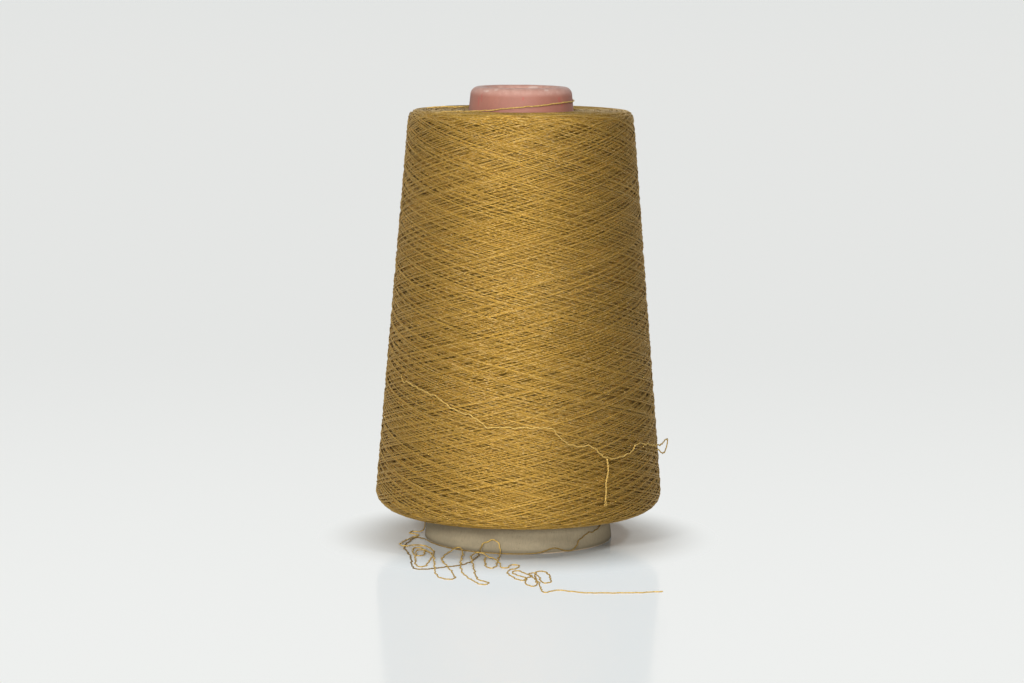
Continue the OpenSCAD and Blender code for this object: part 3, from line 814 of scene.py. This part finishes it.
def wound_path(package, layer):
    """One thread of a layer, up and down the package without a break. Each trip lies a little further out
    than the one before, and layer 0, the outermost, is laid last."""
    outline = Outline(package)
    chance = random.Random(40 + layer)
    trips = package.trips
    # The trips start in slots round the package, a step of slots apart that fills each of them once
    least = round(trips * (SLOT_STEP[0] + SLOT_STEP[1] * layer))
    step = next(k for k in range(least, trips) if math.gcd(k, trips) == 1)
    whole = math.floor(package.turns_per_trip)
    slots = np.arange(trips + 1) * step / trips
    starts = slots + np.arange(trips + 1) * whole
    for waves in (9, 17):
        starts = starts + 0.02 * np.sin(2 * math.pi * (slots * waves + chance.random())) / waves
    starts = starts + np.array([chance.gauss(0, LOW_STRAY / trips) for _ in starts])
    middles = (starts[:-1] + starts[1:]) / 2
    middles = middles + np.array([chance.gauss(0, HIGH_STRAY / trips) for _ in middles])
    # Turns counted at each turning, low and high in turn, and how far over the edges the thread reaches there
    turning = np.empty(2 * trips + 1)
    turning[0::2], turning[1::2] = starts, middles
    reach = np.empty(2 * trips + 1)
    reach[0::2] = [chance.uniform(*LOW_REACH) * MM for _ in starts]
    reach[1::2] = [outline.end + chance.uniform(*HIGH_REACH) * MM for _ in middles]
    turns = np.arange(0, turning[-1] - turning[0], 1 / RINGS_PER_TURN) + turning[0]
    half = np.clip(np.searchsorted(turning, turns, side="right") - 1, 0, 2 * trips - 1)
    way = (turns - turning[half]) / (turning[half + 1] - turning[half])
    # The way between two turnings, slowed down beside each of them
    near = np.minimum(way, 1 - way)
    eased = np.where(near < EASE, EASE / 2 + near ** 2 / (2 * EASE), near)
    eased = (np.where(way < 0.5, eased, 1 - eased) - EASE / 2) / (1 - EASE)
    distance = reach[half] + (reach[half + 1] - reach[half]) * eased
    distance = distance + wander(turns, chance, 0.5 * MM, (0.83, 1.37, 2.9, 5.3))
    laid = (turns - turning[0]) / (turning[-1] - turning[0])
    depth = package.thread / 2 + package.gain * (layer + 1 - laid)
    depth = depth + wander(turns, chance, 0.03 * MM, (1.9, 3.7, 6.1))
    radius, height = outline.at(distance, depth)
    return around(360 * turns, radius, height)


def face_path(package, start, end, layer, seed):
    """One thread that spirals over a face of the package and dips in and out of the turns beside it"""
    outline = Outline(package)
    chance = random.Random(seed)
    count = abs(end - start) / FACE_GAP
    turns = np.arange(0, count, 1 / RINGS_PER_TURN)
    distance = start + (end - start) * turns / count
    # Off the even spiral: alike in every turn, as the edge under it is, and a little by each turn's own way
    distance = distance + wander(turns % 1, chance, 1.1 * MM, (2, 3, 5))
    distance = distance + wander(turns, chance, 0.25 * MM, (0.31, 0.77, 1.7))
    dips = wander(turns, chance, 1.0, (2.37, 3.13, 5.71)) + wander(turns, chance, 0.4, (9.3, 0.4))
    sunk = FACE_DEPTH + package.gain * (1.1 * layer + 1.2 * np.clip(dips * 1.6, 0, 1))
    radius, height = outline.at(distance, package.thread / 2 + sunk)
    return around(360 * turns, radius, height)


def lathe(name, outline, steps):
    """Closed shell from an outline of radii and heights, spun round the axis"""
    shell = bmesh.new()
    verts = [shell.verts.new((r, 0, z)) for r, z in outline]
    edges = [shell.edges.new((a, b)) for a, b in zip(verts, verts[1:] + verts[:1])]
    bmesh.ops.spin(shell, geom=verts + edges, cent=(0, 0, 0), axis=(0, 0, 1), angle=2 * math.pi,
                   steps=steps, use_merge=True)
    bmesh.ops.remove_doubles(shell, verts=shell.verts, dist=1e-6)
    bmesh.ops.recalc_face_normals(shell, faces=shell.faces)
    for face in shell.faces:
        face.smooth = True
    mesh = bpy.data.meshes.new(name)
    shell.to_mesh(mesh)
    shell.free()
    return linked(name, mesh)


# ---- Routes ----


def on_cone(context, route):
    """Points beside the cone's side, from azimuths and heights"""
    azimuth, height = np.array(route, float).T[:2]
    loose = settings(context, "loose")
    radius = cone_radius(settings(context, "cone"), height) + loose.thickness / 2 + loose.clearance
    return around(azimuth, radius, height)


def on_floor(context, route):
    """Points on the floor, from distances across and in front of the foot and threads underneath"""
    across, front, under = np.array(route, float).T
    loose, cone = settings(context, "loose"), settings(context, "cone")
    return np.stack([across, -cone.foot_width / 2 - front, loose.thickness / 2 + under * loose.lap], axis=1)


def on_package(context, route, more=0.0):
    """Points beside the package's side, from azimuths, heights and lifts"""
    azimuth, height, lift = np.array(route, float).T
    loose, package = settings(context, "loose"), settings(context, "package")
    outline = Outline(package)
    low = outline.low[1]
    side = outline.side(height)
    edge = outline.low[0] + np.sqrt(np.maximum(package.bottom_edge ** 2 - (low - height) ** 2, 0))
    radius = np.where(height < low, edge, side) + loose.thickness / 2 + loose.clearance + more
    return around(azimuth, radius + lift, height)


def by_nose(context, route):
    """Points beside the nose, from azimuths, distances off it and heights above the top face"""
    azimuth, off, above = np.array(route, float).T
    loose, package = settings(context, "loose"), settings(context, "package")
    height = package.bottom + package.traverse + loose.thickness / 2 + above
    radius = cone_radius(settings(context, "cone"), height) + loose.thickness / 2 + loose.clearance + off
    return around(azimuth, radius, height)


def crimped(context, path, size, seed):
    """The same run with small kinks across it: level on the floor, up and down against a side"""
    chance = random.Random(seed)
    foot = settings(context, "cone").foot_width / 2
    flat = path[:, 2:] < FLAT_BELOW
    out = np.where(flat, (0.0, 0.0, 1.0), unit(path * (1, 1, 0)))
    across = unit(np.cross(unit(np.gradient(path, axis=0)), out))
    away = np.linalg.norm(path[:, :2], axis=1, keepdims=True) - foot
    # On the floor the kinks fade out towards the foot
    room = np.where(flat, np.clip(away / MM - 0.5, 0, 1), 1)
    kinks = wander(lengths_along(path) / (10 * MM), chance, size, (1.1, 1.9, 3.1))[:, None]
    return path + across * kinks * room


def loose_finish(context, painted_shade=0.0):
    """The loose threads' finish, with painted shade on the thread's first end"""
    finish, loose = settings(context, "finish"), settings(context, "loose")
    name = "Inner thread" if painted_shade else "Loose thread"
    return bpy.data.materials.get(name) or thread_finish(
        name, finish.loose, finish.loose_dark, loose.twist, *LOOSE_LOOK, painted_shade)


def loose_thread(context, name, path, nodes, crimp=1.0, painted_shade=0.0):
    """A declared free thread along a path, of two plies that twist"""
    loose = settings(context, "loose")
    path = crimped(context, evenly(path, loose.twist / TWIST_STEPS), loose.crimp * crimp, len(path))
    piece = tube(name, path, loose.thickness, PLY_SIDES, loose.twist, LOOSE_LOBES)
    dressed(piece, "loose_thread", loose_finish(context, painted_shade), *nodes)
    return piece


# ---- Pieces ----


class THREADCONE_OT_camera(bpy.types.Operator):
    """Place the camera in front of the cone"""
    bl_idname = "thread_cone.camera"
    bl_label = "Camera"

    def execute(self, context):
        view = settings(context, "camera")
        camera = linked("Camera", bpy.data.cameras.new("Camera"))
        camera.data.lens = view.lens
        camera.data.sensor_width = 36
        camera.data.clip_start, camera.data.clip_end = 0.01, 100
        camera.matrix_world = (
            Matrix.Translation((view.across, -view.distance, view.height))
            @ Matrix.Rotation(math.pi / 2 - view.pitch, 4, "X") @ Matrix.Rotation(view.roll, 4, "Z"))
        context.scene.camera = camera
        return {"FINISHED"}


class THREADCONE_OT_first_end(bpy.types.Operator):
    """Lay the thread's first end down the cone, round its foot and through the tangle"""
    bl_idname = "thread_cone.first_end"
    bl_label = "First end"

    def execute(self, context):
        start = [(FIRST_END_SIDE[0][0], settings(context, "package").bottom + END_START)]
        side = smooth([*start, *FIRST_END_SIDE, *FIRST_END_FOOT], SPLINE_STEPS)
        tangle = smooth(np.vstack([
            on_cone(context, FIRST_END_FOOT[-1:]), on_floor(context, FIRST_END_FLOOR),
            on_cone(context, FIRST_END_LEAN), on_floor(context, FIRST_END_LOOP)]), SPLINE_STEPS)
        path = np.vstack([on_cone(context, side), tangle[1:]])
        loose_thread(context, "first_end", path,
                     ("inner_end", "inner_end_tangle"), painted_shade=FIRST_END_SHADE)
        return {"FINISHED"}


class THREADCONE_OT_last_end(bpy.types.Operator):
    """Lay the thread's last end through the tangle to its free end"""
    bl_idname = "thread_cone.last_end"
    bl_label = "Last end"

    def execute(self, context):
        start = [(LAST_END_SIDE[0][0], settings(context, "package").bottom + END_START)]
        runs = [np.vstack([on_cone(context, start), on_cone(context, LAST_END_SIDE),
                           on_floor(context, LAST_END_FLOOR)])]
        runs += [on_floor(context, route) for route in (LAST_END_LOOPS, LAST_END_KNOTS, LAST_END_TIP)]
        path = np.vstack([smooth(run, SPLINE_STEPS)[min(k, 1):] for k, run in enumerate(runs)])
        loose_thread(context, "last_end", path,
                     ("thread_tail", "thread_tail_loops", "thread_tail_knots", "thread_tail_end"))
        return {"FINISHED"}


class THREADCONE_OT_loose_turn(bpy.types.Operator):
    """Lay a turn pulled loose over the front of the package, with the snarl that hangs from it"""
    bl_idname = "thread_cone.loose_turn"
    bl_label = "Loose turn and snarl"

    def snarl_path(self, context):
        """Down the snarl on one side, round its small end loop and up again on the other, twisting"""
        loose, package = settings(context, "loose"), settings(context, "package")
        down = smooth([(azimuth, height, 0) for azimuth, height in SNARL], SPLINE_STEPS * 4)
        middle = evenly(on_package(context, down, (loose.snarl_width - package.thread) / 2), 0.1 * MM)
        away = unit(middle * (1, 1, 0))
        across = np.cross(away, unit(np.gradient(middle, axis=0)))
        share = np.linspace(0, 1, len(middle))[:, None]
        turn = 2 * math.pi * lengths_along(middle)[:, None] / SNARL_TWIST
        opening = np.clip((share - SNARL_OPENS) / (1 - SNARL_OPENS), 0, 1)
        wide = SNARL_APART * package.thread + SNARL_SPREAD * opening ** 2
        side = across * np.cos(turn) + away * np.sin(turn) * 0.8
        forward = unit(np.gradient(middle, axis=0))[-1]
        bend = np.linspace(0, math.pi, 18)[1:-1, None]
        loop = middle[-1] + wide[-1] * (np.cos(bend) * side[-1] + np.sin(bend) * forward)
        return np.vstack([middle + wide * side, loop, (middle - wide * side)[::-1]])

    def execute(self, context):
        loose, package = settings(context, "loose"), settings(context, "package")
        path = evenly(self.snarl_path(context), loose.twist / TWIST_STEPS)
        snarl = tube("loose_turn_snarl_strands", path, package.thread * SNARL_STRAND, PLY_SIDES,
                     loose.twist, SNARL_LOBES)
        dressed(snarl, "loose_thread", loose_finish(context), "loose_turn_snarl")
        path = on_package(context, smooth(LOOSE_TURN, SPLINE_STEPS))
        loose_thread(context, "slack_turn", path, ("loose_turn",))
        return {"FINISHED"}


class THREADCONE_OT_nose_turn(bpy.types.Operator):
    """Lay the turn that has slipped over the top edge round the nose"""
    bl_idname = "thread_cone.nose_turn"
    bl_label = "Turn round the nose"

    def execute(self, context):
        path = by_nose(context, smooth(NOSE_TURN, SPLINE_STEPS))
        loose_thread(context, "slipped_turn", path, ("nose_turn",), crimp=0.3)
        return {"FINISHED"}


class THREADCONE_OT_core(bpy.types.Operator):
    """Make the deep turns as one body under the wound layers"""
    bl_idname = "thread_cone.core"
    bl_label = "Deep turns"

    def execute(self, context):
        package, cone, finish = (settings(context, n) for n in ("package", "cone", "finish"))
        outline = Outline(package)
        depth = package.thread / 2 + package.gain * package.layers
        distance = np.concatenate([
            np.linspace(0, outline.edge, 12), np.linspace(outline.edge, outline.rim, 24)[1:],
            np.linspace(outline.rim, outline.end, 8)[1:]])
        radius, height = outline.at(distance, depth)
        bottom, top = package.bottom + depth, outline.top - depth
        profile = [(cone_radius(cone, bottom) + SEAT, bottom), *zip(radius, height),
                   (cone_radius(cone, top) + SEAT, top)]
        core = lathe("deep_turns", profile, CORE_STEPS)
        material = core_finish("Deep turns", finish.thread, finish.thread_dark)
        dressed(core, "thread", material, "winding_body")
        return {"FINISHED"}


class THREADCONE_OT_wound_layers(bpy.types.Operator):
    """Wind the outer layers of thread over the deep turns"""
    bl_idname = "thread_cone.wound_layers"
    bl_label = "Wound layers"

    def execute(self, context):
        package, loose, finish = (settings(context, n) for n in ("package", "loose", "finish"))
        material = thread_finish(
            "Wound thread", finish.thread, finish.thread_dark, loose.twist, *WOUND_LOOK)
        for layer in range(package.layers):
            piece = tube(f"wound_layer_{layer + 1}", wound_path(package, layer), package.thread)
            dressed(piece, "thread", material, *(["winding_outer_layer"] if layer == 0 else []))
        return {"FINISHED"}


class THREADCONE_OT_end_faces(bpy.types.Operator):
    """Lay the turns that show on the package's top and bottom faces"""
    bl_idname = "thread_cone.end_faces"
    bl_label = "Turns on the end faces"

    def execute(self, context):
        package, cone = (settings(context, n) for n in ("package", "cone"))
        outline = Outline(package)
        material = bpy.data.materials["Wound thread"]
        top = outline.end + outline.high[0] - cone_radius(cone, outline.top) - FACE_END
        bottom = -(outline.low[0] - cone_radius(cone, package.bottom) - FACE_END)
        for name, start, end in (("top_face_turns", outline.end - FACE_LAP, top),
                                 ("bottom_face_turns", FACE_LAP, bottom)):
            for layer in range(2):
                path = face_path(package, start, end, layer, len(name) * 10 + layer)
                piece = tube(f"{name}_{layer + 1}", path, package.thread)
                dressed(piece, "thread", material)
        return {"FINISHED"}


class THREADCONE_OT_nose_paper(bpy.types.Operator):
    """Roll the nose paper over the cone's rim, with pleats where it is drawn into the hole"""
    bl_idname = "thread_cone.nose_paper"
    bl_label = "Nose paper"

    def outline(self, cone, depth):
        """Radii and heights from the paper's outer end over the rim and down inside, at a depth under it"""
        lean = math.atan2((cone.foot_width - cone.tip_width) / 2, cone.length)
        low, rim = cone.length - cone.nose_depth, cone.length - cone.nose_rim
        shoulder = np.linspace(lean, math.pi / 2, 12)
        lip = np.linspace(math.pi / 2, math.pi, 7)
        outer = around(90, cone_radius(cone, np.linspace(low, rim, 12)) - depth / math.cos(lean),
                       np.linspace(low, rim, 12))[:-1, [0, 2]]
        centre = np.array((cone_radius(cone, rim) - cone.nose_rim / math.cos(lean), rim))
        over = centre + (cone.nose_rim - depth) * np.stack([np.cos(shoulder), np.sin(shoulder)], axis=1)
        inner = np.array((cone.nose_hole / 2 + cone.nose_inner_rim, cone.length - cone.nose_inner_rim))
        into = inner + (cone.nose_inner_rim - depth) * np.stack([np.cos(lip), np.sin(lip)], axis=1)
        down = [(cone.nose_hole / 2 + depth, cone.length - z) for z in (*NOSE_DOWN, cone.turn_in)]
        return np.vstack([outer, over, into, down])

    def shape_by_hand(self, cone, vert):
        """Moves a vertex of the paper a little, so that it is uneven outside and pleated inside the hole"""
        azimuth = math.atan2(vert.co.x, -vert.co.y)
        radius = math.hypot(vert.co.x, vert.co.y)
        inner = cone.nose_hole / 2 + cone.nose_inner_rim
        inside = min(max((inner - radius) / cone.nose_inner_rim, 0), 1)
        above = min(max((vert.co.z - cone.length + cone.nose_rim) / cone.nose_rim, 0), 1)
        uneven = 1 + sum(size * math.sin(waves * azimuth + start) for size, waves, start in NOSE_WAVES)
        fold = abs(math.sin(PLEATS / 2 * azimuth + 0.9 * math.sin(3 * azimuth))) ** 6
        push = NOSE_BULGE * uneven * (1 - inside) - cone.pleat * fold * inside
        vert.co.x += push * math.sin(azimuth)
        vert.co.y -= push * math.cos(azimuth)
        vert.co.z += NOSE_RISE * uneven * above

    def execute(self, context):
        cone, finish = (settings(context, n) for n in ("cone", "finish"))
        under = cone.paper * PAPER_LAID
        outline = np.vstack([self.outline(cone, 0), self.outline(cone, under)[::-1]])
        piece = lathe("nose_paper_rolled", outline, NOSE_STEPS)
        for vert in piece.data.vertices:
            self.shape_by_hand(cone, vert)
        dressed(piece, "nose_paper", nose_finish("Nose paper", finish.nose, cone.length), "nose_paper")
        return {"FINISHED"}


class THREADCONE_OT_cone(bpy.types.Operator):
    """Finish the rolled board and its cover paper"""
    bl_idname = "thread_cone.cone"
    bl_label = "Paper cone"

    def execute(self, context):
        finish = settings(context, "finish")
        for node, material in (
                ("cone_board", board_finish("Board", finish.board)),
                ("cone_cover_paper", cover_finish("Cover paper", finish.cover))):
            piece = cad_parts[node]
            piece.data.materials.clear()
            piece.data.materials.append(material)
        return {"FINISHED"}


class THREADCONE_OT_stage(bpy.types.Operator):
    """Set out the pale floor, the room's light and the lamps"""
    bl_idname = "thread_cone.stage"
    bl_label = "Floor and light"

    def lamp(self, name, unlit, place, aim, width, height, power, colour):
        """A rectangular lamp that lights all but the floor's gloss"""
        data = bpy.data.lights.new(name, "AREA")
        data.shape = "RECTANGLE"
        data.size, data.size_y = width, height
        data.energy, data.color = power, colour
        made = linked(name, data)
        made.location = place
        made.rotation_euler = (Vector(aim) - Vector(place)).to_track_quat("-Z", "Y").to_euler()
        made.light_linking.receiver_collection = unlit

    def disc(self, name, height, material):
        """A disc of the floor, which isn't a piece of the object"""
        made = bmesh.new()
        bmesh.ops.create_circle(made, cap_ends=True, segments=96, radius=FLOOR_RADIUS)
        bmesh.ops.translate(made, verts=made.verts, vec=(0, 0, height))
        mesh = bpy.data.meshes.new(name)
        made.to_mesh(mesh)
        made.free()
        mesh.materials.append(material)
        piece = linked(name, mesh)
        return piece

    def under_polish(self, stage, level):
        """The floor's own colour, which with the backdrop mirrored in its gloss is grey of a level"""
        mirrored = shade(POLISH_TINT, stage.floor_mirror * stage.backdrop)
        return tuple((g - m) / (1 - stage.floor_mirror) for g, m in zip(grey(level), mirrored))

    def floor(self, stage):
        """A pale floor that takes shadow near the cone"""
        look = Nodes(bpy.data.materials.new("Floor"))
        _, (x, y, _) = look.place()
        seen = look.value("ShaderNodeLightPath", {}, output="Is Camera Ray")
        paleness = look.mixed(y.between(*FLOOR_FADE), self.under_polish(stage, stage.floor_front),
                              self.under_polish(stage, stage.backdrop))
        near = 1 - ((x * x + y * y) ** 0.5).between(*SHADOW_FADE)
        # A painted shadow close to the foot, darkening the floor's white as the camera sees it
        aside, ahead = x - PAINTED_SHADOW_MIDDLE[0], y - PAINTED_SHADOW_MIDDLE[1]
        painted_shadow = 1 - ((aside * aside + ahead * ahead) ** 0.5).between(*PAINTED_SHADOW_FADE)
        dark = look.mixed(painted_shadow * PAINTED_SHADOW_DARK, FLOOR_SEEN, (0.0, 0.0, 0.0))
        white = look.mixed(seen, FLOOR_WHITE, dark)
        matt = look.node("ShaderNodeBsdfDiffuse", {}, white).outputs[0]
        glow = look.node("ShaderNodeEmission", {}, paleness, 1.0).outputs[0]
        plain = seen * (1 - near * stage.floor_shadow)
        ground = look.node("ShaderNodeMixShader", {}, plain, matt, glow).outputs[0]
        look.node("ShaderNodeOutputMaterial", {}, ground)
        self.disc("floor", 0, look.owner)

    def polish(self, stage):
        """The floor's gloss, a clear film that mirrors the cone and the room but not the lamps"""
        look = Nodes(bpy.data.materials.new("Floor polish"))
        seen = look.value("ShaderNodeLightPath", {}, output="Is Camera Ray")
        clear = look.node("ShaderNodeBsdfTransparent", {}, (1, 1, 1, 1)).outputs[0]
        gloss = look.node("ShaderNodeBsdfGlossy", {}, (*POLISH_TINT, 1), POLISH_ROUGH).outputs[0]
        both = look.node("ShaderNodeMixShader", {}, seen * stage.floor_mirror, clear, gloss).outputs[0]
        look.node("ShaderNodeOutputMaterial", {}, both)
        film = self.disc("floor_polish", POLISH_HEIGHT, look.owner)
        for rays in ("shadow", "diffuse", "glossy", "transmission"):
            setattr(film, "visible_" + rays, False)
        unlit = bpy.data.collections.new("Unlit")
        unlit.objects.link(film)
        unlit.collection_objects[0].light_linking.link_state = "EXCLUDE"
        return unlit

    def room(self, context, stage):
        """Pale for the camera, bright behind and at the left for the object"""
        look = Nodes(bpy.data.worlds.new("Room"))
        context.scene.world = look.owner
        path = look.node("ShaderNodeLightPath", {}).outputs
        camera = Value(look, path["Is Camera Ray"])
        open_view = (camera + Value(look, path["Is Glossy Ray"])
                     + Value(look, path["Is Transmission Ray"])).clamp()
        towards = look.node("ShaderNodeTexCoord", {}).outputs["Generated"]
        split = look.node("ShaderNodeSeparateXYZ", {}, towards).outputs
        left = 1 - Value(look, split[0]).between(*ROOM_SIDES)
        back = Value(look, split[1]).between(*ROOM_DEPTH)
        pale = grey(stage.backdrop)
        sides = look.mixed(left, grey(stage.room_dark), grey(stage.room_bright))
        level = look.mixed(back, sides, pale)
        dim = look.node("ShaderNodeBackground", {}, level, 1.0).outputs[0]
        mirrored = look.mixed((left + back).clamp(), shade(pale, MIRRORED_DARK), pale)
        shown = look.mixed(camera, mirrored, pale)
        seen = look.node("ShaderNodeBackground", {}, shown, 1.0).outputs[0]
        both = look.node("ShaderNodeMixShader", {}, open_view, dim, seen).outputs[0]
        look.node("ShaderNodeOutputWorld", {}, both)

    def execute(self, context):
        stage = settings(context, "stage")
        self.floor(stage)
        unlit = self.polish(stage)
        self.room(context, stage)
        for name, place, aimed_at, width, height, colour in LAMPS:
            power = getattr(stage, name.lower() + "_power")
            self.lamp(name, unlit, place, (0, 0, aimed_at), width, height, power, colour)
        context.scene.view_settings.view_transform = "Standard"
        return {"FINISHED"}


class THREADCONE_PT_panel(bpy.types.Panel):
    """Lists the pieces of the cone of thread"""
    bl_idname = "THREADCONE_PT_panel"
    bl_label = "Cone of thread"
    bl_space_type = "VIEW_3D"
    bl_region_type = "UI"
    bl_category = PANEL_TAB

    def draw(self, context):
        for name, group in SETTINGS.items():
            box = self.layout.box()
            box.label(text=group.__doc__)
            for prop in group.__annotations__:
                box.prop(settings(context, name), prop)
        for operator in OPERATORS:
            self.layout.operator(operator.bl_idname)


SETTINGS = {"camera": CameraSettings, "cone": ConeSettings, "package": PackageSettings,
            "loose": LooseSettings, "finish": FinishSettings, "stage": StageSettings}
OPERATORS = (
    THREADCONE_OT_camera, THREADCONE_OT_first_end, THREADCONE_OT_last_end, THREADCONE_OT_loose_turn,
    THREADCONE_OT_nose_turn, THREADCONE_OT_core, THREADCONE_OT_wound_layers, THREADCONE_OT_end_faces,
    THREADCONE_OT_cone, THREADCONE_OT_nose_paper, THREADCONE_OT_stage)


def register():
    for made in (*SETTINGS.values(), *OPERATORS, THREADCONE_PT_panel):
        bpy.utils.register_class(made)
    for name, group in SETTINGS.items():
        setattr(bpy.types.Scene, "thread_cone_" + name, PointerProperty(type=group))


def unregister():
    for name in SETTINGS:
        delattr(bpy.types.Scene, "thread_cone_" + name)
    for made in reversed((*SETTINGS.values(), *OPERATORS, THREADCONE_PT_panel)):
        bpy.utils.unregister_class(made)


def main():
    """Make every piece in order"""
    register()
    for operator in OPERATORS:
        module, name = operator.bl_idname.split(".")
        getattr(getattr(bpy.ops, module), name)()


if __name__ == "__main__":
    main()
